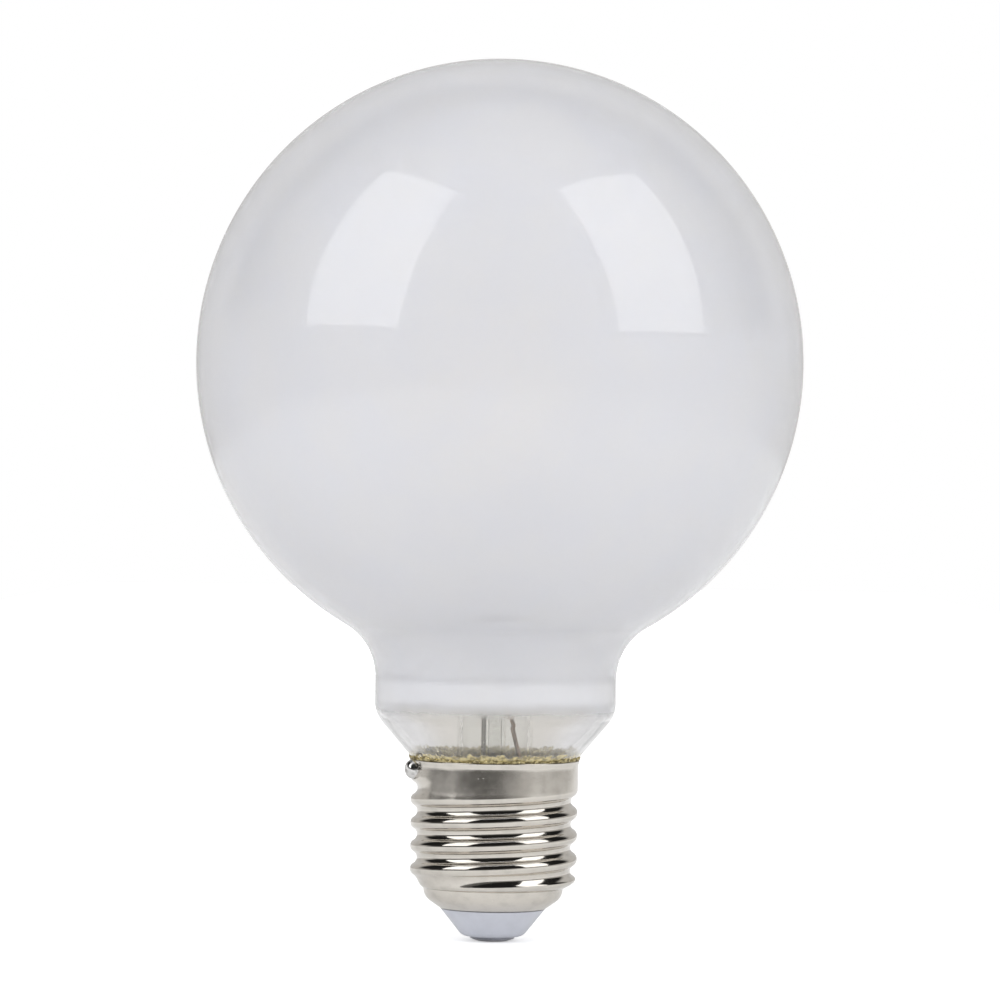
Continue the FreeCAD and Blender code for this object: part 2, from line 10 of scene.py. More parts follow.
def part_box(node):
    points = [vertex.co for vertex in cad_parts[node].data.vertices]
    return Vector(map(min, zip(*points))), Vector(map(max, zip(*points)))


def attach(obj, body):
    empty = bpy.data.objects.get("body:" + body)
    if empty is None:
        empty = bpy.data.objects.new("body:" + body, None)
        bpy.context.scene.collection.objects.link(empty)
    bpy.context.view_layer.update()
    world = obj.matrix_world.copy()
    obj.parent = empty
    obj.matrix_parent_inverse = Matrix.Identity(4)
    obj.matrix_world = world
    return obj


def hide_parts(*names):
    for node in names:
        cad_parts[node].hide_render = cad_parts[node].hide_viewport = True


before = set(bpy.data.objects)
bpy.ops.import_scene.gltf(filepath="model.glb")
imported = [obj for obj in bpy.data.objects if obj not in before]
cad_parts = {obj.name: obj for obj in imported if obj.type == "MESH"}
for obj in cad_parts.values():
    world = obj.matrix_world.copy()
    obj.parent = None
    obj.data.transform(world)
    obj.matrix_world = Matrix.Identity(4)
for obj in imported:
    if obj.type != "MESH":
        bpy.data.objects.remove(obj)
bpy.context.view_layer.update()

bl_info = {
    "name": "Globe Lamp",
    "version": (1, 0, 0),
    "blender": (4, 5, 0),
    "location": "3D View > Sidebar > Globe Lamp",
    "description": "Dresses the solids of a frosted filament globe lamp and sets its studio",
    "category": "Object",
}

MM = 0.001
glass_low, glass_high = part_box("glass_globe")
shell_low, shell_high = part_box("screw_shell")


def length(name, description, default):
    """Size in metres."""
    return FloatProperty(name=name, description=description, default=default, unit="LENGTH", precision=5)


def share(name, description, default):
    """Number between nought and one."""
    return FloatProperty(name=name, description=description, default=default, min=0, max=1, subtype="FACTOR")


def intensity(name, description, default):
    """Brightness of a light or a lit surface."""
    return FloatProperty(name=name, description=description, default=default, min=0)


def bearing(name, description, default):
    """Turn in radians."""
    return FloatProperty(name=name, description=description, default=default, subtype="ANGLE")


def colour(name, description, default):
    """Linear colour."""
    return FloatVectorProperty(
        name=name, description=description, default=default, min=0, max=1, size=3, subtype="COLOR")


def vector(name, description, default, subtype):
    """Place, size or direction in metres."""
    return FloatVectorProperty(
        name=name, description=description, default=default, size=len(default), subtype=subtype)


class GlassSettings(bpy.types.PropertyGroup):
    """Sizes and colours of the glass globe and the stem inside it."""

    globe_radius: length("Globe radius", "Radius of the globe", (glass_high.x - glass_low.x) / 2)
    top: length("Top", "Height of the crown of the globe", glass_high.z)
    foot: length("Foot", "Height of the end of the neck inside the cap", glass_low.z)
    wall: length("Wall", "Thickness of the glass", 0.8 * MM)
    skin: length("Skin", "Depth of the drawn surface inside the solid's", 0.02 * MM)
    shoulder_radius: length("Shoulder radius", "Hollow between neck and globe", 9.3 * MM)
    neck_radius: length("Neck radius", "Radius of the straight neck", 18.9 * MM)
    heel_radius: length("Heel radius", "Rounding under the straight neck", 5 * MM)
    heel_height: length("Heel height", "Height of the corner of the heel", 35.5 * MM)
    taper_radius: length("Taper foot radius", "Radius of the glass inside the cap", 11.1 * MM)
    taper_height: length("Taper foot height", "Height at which the neck starts to widen", 26.3 * MM)
    taper_round: length("Taper foot rounding", "Rounding where the neck starts to widen", 2 * MM)
    segments: IntProperty(name="Segments", description="Faces round the globe", default=192, min=24)
    frost_low: length("Frost fades out", "Height at which the frosting has ended", 35.1 * MM)
    frost_high: length("Frost starts", "Height above which the frosting is full", 38.4 * MM)
    frost_colour: colour("Frost colour", "Cool white of the frosting", (0.915, 0.92, 0.955))
    frost_warmth: colour("Frost warmth", "White of the thinner patches of frosting", (0.93, 0.93, 0.95))
    frost_seam: share("Frost seam", "Share of light that passes the thick lower edge of the frosting", 0.3)
    frost_depth: share("Frost transmission", "Share of light that passes the frosting", 0.52)
    frost_blur: share("Frost blur", "Roughness of the frosting", 0.55)
    # Painted light: the clear foot's colour is painted, warm where the room would be seen through it square
    # on and white where glare would be refracted along its wall.
    foot_tint: colour("Foot tint", "Warm tint of the clear foot seen square on", (0.70, 0.685, 0.66))
    foot_edge: colour("Foot edge", "White of the clear foot seen along its wall", (0.90, 0.91, 0.95))
    stem_tint: colour("Stem tint", "Colour of the clear stem glass", (0.97, 0.975, 0.97))


class CapSettings(bpy.types.PropertyGroup):
    """Sizes and colours of the screw cap, its cement, solder and tip."""

    thread_radius: length("Thread radius", "Radius over the crests of the thread", 13.1 * MM)
    thread_depth: length("Thread depth", "Crest to root", 1.05 * MM)
    thread_pitch: length("Thread pitch", "Rise of one turn", 3.629 * MM)
    thread_top: length("Thread top", "Height of the foot of the plain collar", 26.2 * MM)
    groove_end: length("Groove end", "Height at which the last groove has died out", 24.25 * MM)
    run_in: length("Run-in", "Rise of the last groove while it dies out", 0.4 * MM)
    run_out: length("Run-out", "Height over which the thread dies into the bowl", 1.9 * MM)
    first_crest: length("First crest", "Height of the first crest above the waist", 1.05 * MM)
    mouth: length("Mouth height", "Height of the lower edge of the shell", shell_low.z)
    rim: length("Rim height", "Height of the upper edge of the shell", shell_high.z)
    mouth_radius: length("Mouth radius", "Radius of the opening for the insulator", 8.2 * MM)
    waist_radius: length("Waist radius", "Radius of the bowl under the thread", 10.95 * MM)
    bowl_height: length("Bowl height", "Height of the bowl under the thread", 3.2 * MM)
    bowl_corner: length("Bowl corner", "Height of the corner of the bowl", 1.9 * MM)
    bowl_round: length("Bowl rounding", "Rounding of the bowl", 2.4 * MM)
    lip: length("Lip", "Step out at the rim", 0.2 * MM)
    lip_height: length("Lip height", "Height of the stepped rim", 0.9 * MM)
    wall: length("Wall", "Thickness of the sheet", 0.3 * MM)
    segments: IntProperty(name="Segments", description="Faces round the shell", default=192, min=24)
    nickel: colour("Nickel", "Colour of the plating", (0.70, 0.665, 0.61))
    thread_gloss: share("Thread roughness", "Roughness of the rolled thread", 0.07)
    collar_gloss: share("Collar roughness", "Roughness of the drawn collar", 0.12)
    cement_depth: length("Cement depth", "Depth of the cement inside the collar", 2.1 * MM)
    smear_top: length("Smear top", "Middle height of the cement smeared on the glass", 29.8 * MM)
    cement_top: length("Cement top", "Middle height of the ragged edge of the cement", 28.85 * MM)
    # The darker cement colour is the cement's own mottle and also painted shade in the low spots of its bump.
    cement_dark: colour("Cement hollows", "Brown of the cement's hollows", (0.14, 0.11, 0.045))
    cement_light: colour("Cement", "Yellow-brown of the cement", (0.52, 0.44, 0.22))
    solder_radius: length("Solder radius", "Radius of the solder bead", 1.65 * MM)
    solder_drop: length("Solder drop", "Middle of the bead below the rim", 1.45 * MM)
    solder_angle: bearing("Solder angle", "Place of the bead round the rim", radians(198))
    solder_colour: colour("Solder", "Colour of the solder", (0.72, 0.71, 0.70))
    insulator_colour: colour("Insulator", "Bluish white of the moulded insulator", (0.62, 0.64, 0.71))
    contact_colour: colour("Contact", "Grey of the centre contact", (0.55, 0.55, 0.58))


class InsideSettings(bpy.types.PropertyGroup):
    """Colours of the wires, filaments and driver inside the lamp."""

    phosphor: colour("Phosphor", "Yellow of the filament coat", (0.86, 0.60, 0.16))
    lead_grey: colour("Grey lead", "Nickel of the plain lead and the cage", (0.32, 0.31, 0.29))
    lead_copper: colour("Copper lead", "Copper of the other lead", (0.42, 0.30, 0.21))
    tinned: colour("Tinned wire", "Tin on the thin wires", (0.70, 0.69, 0.67))
    board: colour("Board", "Green of the driver board", (0.05, 0.22, 0.09))
    moulding: colour("Mouldings", "Black of the moulded packages", (0.022, 0.022, 0.024))
    sleeve: colour("Capacitor sleeve", "Dark sleeve of the capacitor", (0.03, 0.035, 0.05))
    ceramic: colour("Resistor ends", "Pale ends of the chip resistors", (0.62, 0.61, 0.58))
    fuse: colour("Fuse coat", "Lacquer of the fuse resistor", (0.20, 0.42, 0.40))


class StudioSettings(bpy.types.PropertyGroup):
    """Camera, light and floor."""

    distance: length("Camera distance", "Camera to the lamp's axis", 0.75)
    height: length("Camera height", "Height of the level camera", 0.069)
    aside: length("Camera aside", "Camera to the right of the lamp's axis", 0.3 * MM)
    lens: FloatProperty(name="Lens", description="Focal length in millimetres", default=172.4, min=10)
    roll: bearing("Roll", "Turn of the camera about its view", radians(-0.76))
    ambient: intensity("Ambient", "Level of the light from all round", 0.72)
    softbox: intensity("Softbox", "Brightness of the softboxes' faces", 1.75)
    left_size: vector("Left softbox", "Width and height of the left softbox", (0.668, 1.061), "XYZ_LENGTH")
    left_place: vector("Left place", "Middle of the left softbox", (-0.658, -0.396, 0.765), "XYZ_LENGTH")
    left_facing: vector("Left facing", "Way the left softbox faces", (0.749, 0.572, -0.334), "DIRECTION")
    right_size: vector("Right softbox", "Width and height of the right softbox", (0.655, 0.987), "XYZ_LENGTH")
    right_place: vector("Right place", "Middle of the right softbox", (0.707, -0.303, 0.699), "XYZ_LENGTH")
    right_facing: vector("Right facing", "Way the right softbox faces", (-0.712, 0.542, -0.448), "DIRECTION")
    fill: intensity("Fill", "Brightness of the soft light below the camera", 2.8)
    fill_size: vector("Fill size", "Width and height of the fill light", (0.8, 0.8), "XYZ_LENGTH")
    fill_place: vector("Fill place", "Middle of the fill light", (0, -1.6, -0.25), "XYZ_LENGTH")
    fill_facing: vector("Fill facing", "Way the fill light faces", (0, 1, 0.2), "DIRECTION")
    floor_colour: colour("Floor", "Pale floor", (0.86, 0.86, 0.86))
    floor_lift: intensity("Floor lift", "Added whiteness of the floor", 0.45)
    floor_mirrored: share("Mirrored lift", "Share of the lift that shiny surfaces see", 0.18)
    table_edge: length("Table edge", "Distance of the table's front edge", 0.2)
    table_width: length("Table width", "Width of the table", 0.64)
    wall_front: share("Front wall", "Brightness of the wall before the lamp at eye height", 0.12)
    wall_side: share("Side walls", "Brightness of the walls beside the lamp at eye height", 0.52)
    wall_back: share("Back wall", "Brightness of the wall behind the lamp", 0.6)
    wall_skirt: share("Low wall", "Brightness of the wall below the table", 0.8)


class Finish:
    """Node-based material under way, with short ways to add the nodes that it needs."""

    def __init__(self, name, **sockets):
        self.material = bpy.data.materials.new(name)
        self.material.use_nodes = True
        self.tree = self.material.node_tree
        self.shader = self.tree.nodes["Principled BSDF"]
        self.place = self.add("ShaderNodeTexCoord").outputs["Object"]
        for socket, value in sockets.items():
            self.set(socket.replace("_", " "), value)

    def add(self, kind, **settings):
        """New node with its settings."""
        made = self.tree.nodes.new(kind)
        for key, value in settings.items():
            setattr(made, key, value)
        return made

    def put(self, socket, value):
        """Value or link into a node's socket."""
        if isinstance(value, bpy.types.NodeSocket):
            self.tree.links.new(value, socket)
        elif socket.type == "RGBA":
            socket.default_value = (*value, 1)
        else:
            socket.default_value = value

    def set(self, socket, value):
        """Value or link into the shader's own socket."""
        self.put(self.shader.inputs[socket], value)

    def stretched(self, scale):
        """Place on the lamp, scaled along each axis."""
        mapping = self.add("ShaderNodeMapping")
        self.put(mapping.inputs["Vector"], self.place)
        mapping.inputs["Scale"].default_value = scale
        return mapping.outputs["Vector"]

    def noise(self, size, detail=3.0, stretch=(1, 1, 1)):
        """Cloudy pattern whose patches are about this size in metres."""
        made = self.add("ShaderNodeTexNoise")
        self.put(made.inputs["Vector"], self.stretched([1 / (size * s) for s in stretch]))
        made.inputs["Scale"].default_value = 1
        made.inputs["Detail"].default_value = detail
        made.inputs["Roughness"].default_value = 0.55
        return made.outputs["Fac"]

    def uneven(self, size, detail, depth):
        """Cloudy ups and downs about nought, this far from end to end."""
        return self.maths("MULTIPLY", self.maths("SUBTRACT", self.noise(size, detail), 0.5), depth)

    def cells(self, size):
        """Distance to the nearest of scattered points about this far apart."""
        made = self.add("ShaderNodeTexVoronoi", feature="F1")
        self.put(made.inputs["Vector"], self.stretched([1 / size] * 3))
        made.inputs["Scale"].default_value = 1
        return made.outputs["Distance"]

    def axis(self, name):
        """One coordinate of the place on the lamp, in metres."""
        split = self.add("ShaderNodeSeparateXYZ")
        self.put(split.inputs["Vector"], self.place)
        return split.outputs[name]

    def maths(self, operation, first, second=0.0):
        """Sum on one value or two."""
        made = self.add("ShaderNodeMath", operation=operation)
        self.put(made.inputs[0], first)
        self.put(made.inputs[1], second)
        return made.outputs["Value"]

    def span(self, value, low, high, start=0.0, stop=1.0, eased=True):
        """Value carried from one range to another and held at its ends."""
        made = self.add("ShaderNodeMapRange", interpolation_type="SMOOTHSTEP" if eased else "LINEAR")
        for socket, number in zip(made.inputs, (value, low, high, start, stop)):
            self.put(socket, number)
        return made.outputs["Result"]

    def mix(self, factor, first, second):
        """Colour between two colours."""
        made = self.add("ShaderNodeMix", data_type="RGBA")
        self.put(made.inputs["Factor"], factor)
        self.put(made.inputs[6], first)
        self.put(made.inputs[7], second)
        return made.outputs[2]

    def bump(self, height, depth, strength=1.0):
        """Relief of this depth in metres on the shader's normal."""
        made = self.add("ShaderNodeBump")
        made.inputs["Strength"].default_value = strength
        made.inputs["Distance"].default_value = depth
        self.put(made.inputs["Height"], height)
        self.set("Normal", made.outputs["Normal"])


def shaded(tone, amount):
    """Colour made darker or lighter."""
    return [min(1.0, c * amount) for c in tone]


def dress(material, slot, *nodes):
    """Material on CAD nodes that keep their own shape."""
    for node in nodes:
        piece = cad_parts[node]
        piece.data.materials.clear()
        piece.data.materials.append(material)


def make_piece(name, points, faces, material, node):
    """Smooth mesh piece that stands for a CAD node and rides with the lamp."""
    mesh = bpy.data.meshes.new(name)
    mesh.from_pydata(points, [], faces)
    mesh.validate()
    mesh.polygons.foreach_set("use_smooth", [True] * len(mesh.polygons))
    mesh.materials.append(material)
    piece = bpy.data.objects.new(name, mesh)
    bpy.context.scene.collection.objects.link(piece)
    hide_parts(node)
    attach(piece, "root")
    return piece


def ring_faces(rows, segments, closed):
    """Quads between rings of points, the last ring joined to the first where the section is closed."""
    faces = []
    for row in range(rows if closed else rows - 1):
        above = (row + 1) % rows
        for k in range(segments):
            beside = (k + 1) % segments
            faces.append((row * segments + k, row * segments + beside,
                          above * segments + beside, above * segments + k))
    return faces


def arc(middle, radius, start, stop, turn=0.06):
    """Points of an arc in the section plane."""
    count = max(2, round(abs(stop - start) / turn))
    angles = [start + (stop - start) * i / count for i in range(count + 1)]
    return [Vector((middle[0] + radius * cos(a), middle[1] + radius * sin(a))) for a in angles]


def split(points, step):
    """Points with more of them along the long straights, so that these shade straight."""
    close = points[:1]
    for start, stop in zip(points, points[1:]):
        count = max(1, round((stop - start).length / step))
        close += [start.lerp(stop, i / count) for i in range(1, count + 1)]
    return close


def rounded(path, turn=0.12, step=0.4 * MM):
    """Points along a path of (radius, height, corner radius) with its corners turned in arcs."""
    points = []
    for i, (r, z, corner) in enumerate(path):
        here = Vector((r, z))
        if corner == 0:
            points.append(here)
            continue
        leg_in = (Vector(path[i - 1][:2]) - here).normalized()
        leg_out = (Vector(path[i + 1][:2]) - here).normalized()
        half = leg_in.angle(leg_out) / 2
        middle = here + (leg_in + leg_out).normalized() * (corner / sin(half))
        start = here + leg_in * (corner / tan(half)) - middle
        stop = here + leg_out * (corner / tan(half)) - middle
        first = atan2(start.y, start.x)
        sweep = (atan2(stop.y, stop.x) - first + pi) % (2 * pi) - pi
        points += arc(middle, corner, first, first + sweep, turn)
    return split(points, step)


def glass_section(glass, inset):
    """Section of the glass from the end of the neck to just under the crown."""
    lean = atan2(glass.neck_radius - glass.taper_radius, glass.heel_height - glass.taper_height)
    side = Vector((cos(lean), -sin(lean)))
    globe_z = glass.top - glass.globe_radius
    shoulder = glass.shoulder_radius + glass.neck_radius
    neck_z = globe_z - sqrt((glass.globe_radius + glass.shoulder_radius) ** 2 - shoulder ** 2)
    low = (1 - cos(lean)) / sin(lean) * inset
    path = [
        (glass.taper_radius - inset, glass.foot, 0),
        (glass.taper_radius - inset, glass.taper_height + low, glass.taper_round + inset),
        (glass.neck_radius - inset, glass.heel_height + low, glass.heel_radius - inset),
        (glass.neck_radius - inset, neck_z, 0),
    ]
    start = atan2(globe_z - neck_z, -shoulder)
    points = rounded(path, 0.06, 1 * MM)
    points += arc((shoulder, neck_z), glass.shoulder_radius + inset, pi, start, 0.05)[1:]
    points += arc((0, globe_z), glass.globe_radius - inset, start - pi, pi / 2, 0.035)[1:]
    return points[:-1], Vector((0, points[-1].y))


def glass_radius(glass, z):
    """Outer radius of the tapered glass just above the cap."""
    rise = (glass.neck_radius - glass.taper_radius) / (glass.heel_height - glass.taper_height)
    return glass.taper_radius + max(0.0, z - glass.taper_height) * rise


class GLOBELAMP_OT_glass_globe(bpy.types.Operator):
    """Blow the frosted globe with its clear foot"""

    bl_idname = "globelamp.glass_globe"
    bl_label = "Glass globe"

    def execute(self, context):
        glass = context.scene.globelamp_glass
        points = []
        faces = []
        ends = []
        for inset in (glass.skin, glass.wall):
            section, crown = glass_section(glass, inset)
            base = len(points)
            for spot in section:
                for k in range(glass.segments):
                    a = 2 * pi * k / glass.segments
                    points.append((spot.x * cos(a), spot.x * sin(a), spot.y))
            points.append((0, 0, crown.y))
            made = ring_faces(len(section), glass.segments, False)
            last = (len(section) - 1) * glass.segments
            for k in range(glass.segments):
                made.append((last + k, last + (k + 1) % glass.segments, len(section) * glass.segments))
            made = [[base + i for i in face] for face in made]
            faces += made if inset == glass.skin else [face[::-1] for face in made]
            ends.append(base)
        for k in range(glass.segments):
            beside = (k + 1) % glass.segments
            faces.append((ends[1] + k, ends[1] + beside, ends[0] + beside, ends[0] + k))
        frosting = self.frosting(glass, context.scene.globelamp_cap)
        make_piece("frosted_globe", points, faces, frosting, "glass_globe")
        return {"FINISHED"}

    def frosting(self, glass, cap):
        """Glass frosted from inside and polished outside, its clear foot smeared with cement and painted with
        a warm backdrop seen through it square on and white glare along its wall.
        """
        finish = Finish("frosted glass", IOR=1.5, Coat_Weight=1.0, Coat_Roughness=0.015, Coat_IOR=1.5)
        height = finish.axis("Z")
        frost_edge = finish.maths("ADD", height, finish.uneven(3 * MM, 3, 0.9 * MM))
        frost = finish.span(frost_edge, glass.frost_low, glass.frost_high)
        cloud = finish.span(finish.noise(9 * MM, 3), 0.3, 0.7)
        frosted = finish.mix(cloud, glass.frost_colour, glass.frost_warmth)
        facing = finish.add("ShaderNodeLayerWeight").outputs["Facing"]
        # Painted light on the clear foot: a painted warm backdrop seen through it square on, turning to
        # painted white glare where it is seen along its wall.
        clear = finish.mix(finish.span(facing, 0.3, 0.55), glass.foot_tint, glass.foot_edge)
        smear_edge = finish.maths("ADD", height, finish.uneven(1.1 * MM, 4, 2.4 * MM))
        bare = finish.span(smear_edge, cap.smear_top - 0.5 * MM, cap.smear_top)
        speck = finish.span(finish.noise(0.7 * MM, 4), 0.4, 0.6)
        paste = finish.mix(speck, shaded(cap.cement_light, 0.8), shaded(cap.cement_light, 1.8))
        finish.set("Base Color", finish.mix(bare, paste, finish.mix(frost, clear, frosted)))
        grain = finish.span(finish.noise(0.35 * MM, 2), 0.3, 0.7, -0.04, 0.04)
        blur = finish.maths("ADD", grain, glass.frost_blur)
        finish.set("Roughness", finish.maths("MULTIPLY", finish.maths("POWER", frost, 0.5), blur))
        seam = finish.span(frost, 0, 1, 1.0, glass.frost_seam, False)
        full = glass.frost_high + 3.5 * MM
        depth = finish.span(height, glass.frost_high, full, 0, glass.frost_depth)
        clearness = finish.maths("MAXIMUM", seam, depth)
        thin = finish.span(bare, 0, 1, 0.4, 1.0, False)
        finish.set("Transmission Weight", finish.maths("MULTIPLY", clearness, thin))
        finish.bump(finish.noise(12 * MM, 2, (1, 1, 2.5)), 0.02 * MM, 0.5)
        return finish.material


class GLOBELAMP_OT_glass_stem(bpy.types.Operator):
    """Finish the clear stem with its flare, pinch and post"""

    bl_idname = "globelamp.glass_stem"
    bl_label = "Glass stem"

    def execute(self, context):
        glass = context.scene.globelamp_glass
        finish = Finish("clear stem glass", IOR=1.1, Transmission_Weight=1.0, Coat_IOR=2.8)
        streak = finish.noise(2.5 * MM, 3, (1, 1, 5))
        finish.set("Base Color", finish.mix(streak, shaded(glass.stem_tint, 0.985), glass.stem_tint))
        facing = finish.add("ShaderNodeLayerWeight").outputs["Facing"]
        finish.set("Coat Weight", finish.span(facing, 0.35, 0.6))
        finish.set("Roughness", finish.span(finish.noise(1.5 * MM, 3), 0.35, 0.75, 0.0, 0.03))
        finish.bump(streak, 0.05 * MM, 0.3)
        dress(finish.material, "clear_glass", "glass_stem")
        return {"FINISHED"}


class GLOBELAMP_OT_wires(bpy.types.Operator):
    """Finish the leads, the cage wires and the neutral wire"""

    bl_idname = "globelamp.wires"
    bl_label = "Wires"

    def execute(self, context):
        inside = context.scene.globelamp_inside
        cage = ("lead_wire_a", "filament_bar_a", "filament_bar_b", "crown_wire_lower", "crown_wire_upper",
                "filament_tabs_1", "filament_tabs_2", "filament_tabs_3", "filament_tabs_4")
        dress(self.drawn("nickel wire", inside.lead_grey, 0.32), "nickel_wire", *cage)
        dress(self.drawn("copper wire", inside.lead_copper, 0.36), "copper_wire", "lead_wire_b")
        dress(self.drawn("tinned wire", inside.tinned, 0.28), "tinned_wire", "neutral_wire")
        return {"FINISHED"}

    def drawn(self, name, tone, rough):
        """Drawn wire with die lines along it and dull patches."""
        finish = Finish(name, Metallic=1.0)
        line = finish.noise(0.08 * MM, 2, (1, 1, 40))
        patch = finish.span(finish.noise(1.6 * MM, 4), 0.4, 0.7)
        finish.set("Base Color", finish.mix(patch, tone, shaded(tone, 0.78)))
        finish.set("Roughness", finish.span(finish.noise(0.5 * MM, 3), 0.3, 0.7, rough - 0.1, rough + 0.12))
        finish.bump(line, 0.01 * MM, 0.6)
        return finish.material


class GLOBELAMP_OT_filaments(bpy.types.Operator):
    """Coat the four filaments with phosphor"""

    bl_idname = "globelamp.filaments"
    bl_label = "Filaments"

    def execute(self, context):
        inside = context.scene.globelamp_inside
        finish = Finish("phosphor coat", IOR=1.42)
        speck = finish.span(finish.cells(0.22 * MM), 0.1, 0.6)
        cloud = finish.span(finish.noise(1.2 * MM, 3), 0.35, 0.65)
        tone = finish.mix(cloud, inside.phosphor, shaded(inside.phosphor, 0.86))
        finish.set("Base Color", finish.mix(speck, shaded(inside.phosphor, 1.12), tone))
        finish.set("Roughness", finish.span(finish.noise(0.6 * MM, 3), 0.3, 0.7, 0.38, 0.6))
        finish.bump(finish.noise(0.7 * MM, 4), 0.05 * MM, 0.6)
        dress(finish.material, "phosphor", *("led_filament_%d" % k for k in range(1, 5)))
        return {"FINISHED"}


class GLOBELAMP_OT_screw_shell(bpy.types.Operator):
    """Roll the threaded shell of the cap"""

    bl_idname = "globelamp.screw_shell"
    bl_label = "Screw shell"

    def execute(self, context):
        cap = context.scene.globelamp_cap
        waist = cap.mouth + cap.bowl_height
        span = cap.thread_top - waist
        bowl = rounded([
            (cap.mouth_radius, cap.mouth, 0),
            (cap.waist_radius, cap.mouth + cap.bowl_corner, cap.bowl_round),
            (cap.waist_radius, waist, 0),
        ])
        collar = rounded([
            (cap.thread_radius, cap.thread_top, 0),
            (cap.thread_radius, cap.rim - cap.lip_height, 0.5 * MM),
            (cap.thread_radius + cap.lip, cap.rim - cap.lip_height / 4, 0.5 * MM),
            (cap.thread_radius + cap.lip, cap.rim, 0.12 * MM),
            (cap.thread_radius, cap.rim, 0),
        ])
        rings = [(spot.y, spot.x, 0) for spot in bowl[:-1]]
        rings += [(waist + span * i / 150, None, 0) for i in range(151)]
        rings += [(spot.y, spot.x, 0) for spot in collar[1:]]
        rings += [(cap.rim - 0.05 * MM, cap.thread_radius + cap.lip - cap.wall, 0)]
        rings += [(cap.rim - cap.lip_height, cap.thread_radius - cap.wall, 0)]
        rings += [(cap.thread_top - span * i / 75, None, cap.wall) for i in range(76)]
        rings += [(spot.y + cap.wall / 2, spot.x - cap.wall, 0) for spot in bowl[-2::-1]]
        points = []
        for z, radius, inset in rings:
            for k in range(cap.segments):
                a = 2 * pi * k / cap.segments
                r = radius if radius else self.thread_radius(cap, a, z, waist) - inset
                points.append((r * cos(a), r * sin(a), z))
        faces = ring_faces(len(rings), cap.segments, True)
        make_piece("rolled_shell", points, faces, self.plating(cap, waist), "screw_shell")
        return {"FINISHED"}

    def thread_radius(self, cap, angle, z, waist):
        """Outer radius of the thread: its last groove dies out along the turn, its first in the bowl."""
        turns = (z - waist - cap.first_crest) / cap.thread_pitch - angle / (2 * pi)
        offset = abs(turns - round(turns)) * cap.thread_pitch
        half = cap.thread_pitch / 2
        bend = (half ** 2 + cap.thread_depth ** 2) / (4 * cap.thread_depth)
        if offset <= half / 2:
            fall = bend - sqrt(bend ** 2 - offset ** 2)
        else:
            fall = cap.thread_depth - bend + sqrt(bend ** 2 - (half - offset) ** 2)
        groove = z + (floor(turns) + 0.5 - turns) * cap.thread_pitch
        for rest in (cap.groove_end - groove, cap.thread_top - z):
            t = min(1.0, max(0.0, rest / cap.run_in))
            fall = fall * t * t * (3 - 2 * t)
        radius = cap.thread_radius - fall
        out = min(1.0, max(0.0, (z - waist) / cap.run_out))
        return cap.waist_radius + (radius - cap.waist_radius) * out * (2 - out)

    def plating(self, cap, waist):
        """Bright nickel on the thread, satin on the drawn collar and bowl."""
        finish = Finish("nickel plating", Metallic=1.0)
        height = finish.axis("Z")
        collar = finish.span(height, cap.groove_end - 1.2 * MM, cap.groove_end - 0.4 * MM)
        bowl = finish.span(height, waist + 0.2 * MM, waist - 0.5 * MM)
        plain = finish.maths("MAXIMUM", collar, bowl)
        haze = finish.span(finish.noise(3.5 * MM, 4), 0.35, 0.7, 0.0, 0.06)
        satin = finish.span(plain, 0, 1, cap.thread_gloss, cap.collar_gloss, False)
        speck = finish.span(finish.cells(0.9 * MM), 0.06, 0.12, 1.0, 0.0)
        speck = finish.maths("MULTIPLY", speck, finish.span(finish.noise(3 * MM, 2), 0.5, 0.6))
        finish.set("Roughness", finish.maths("ADD", satin, haze))
        stain = finish.span(finish.noise(2.4 * MM, 5, (1, 1, 0.6)), 0.42, 0.75)
        tone = finish.mix(stain, cap.nickel, shaded(cap.nickel, 0.86))
        finish.set("Base Color", finish.mix(speck, tone, shaded(cap.nickel, 1.3)))
        draw = finish.noise(0.12 * MM, 3, (1, 1, 30))
        finish.bump(finish.maths("ADD", finish.maths("MULTIPLY", draw, plain), speck), 0.012 * MM, 0.5)
        return finish.material


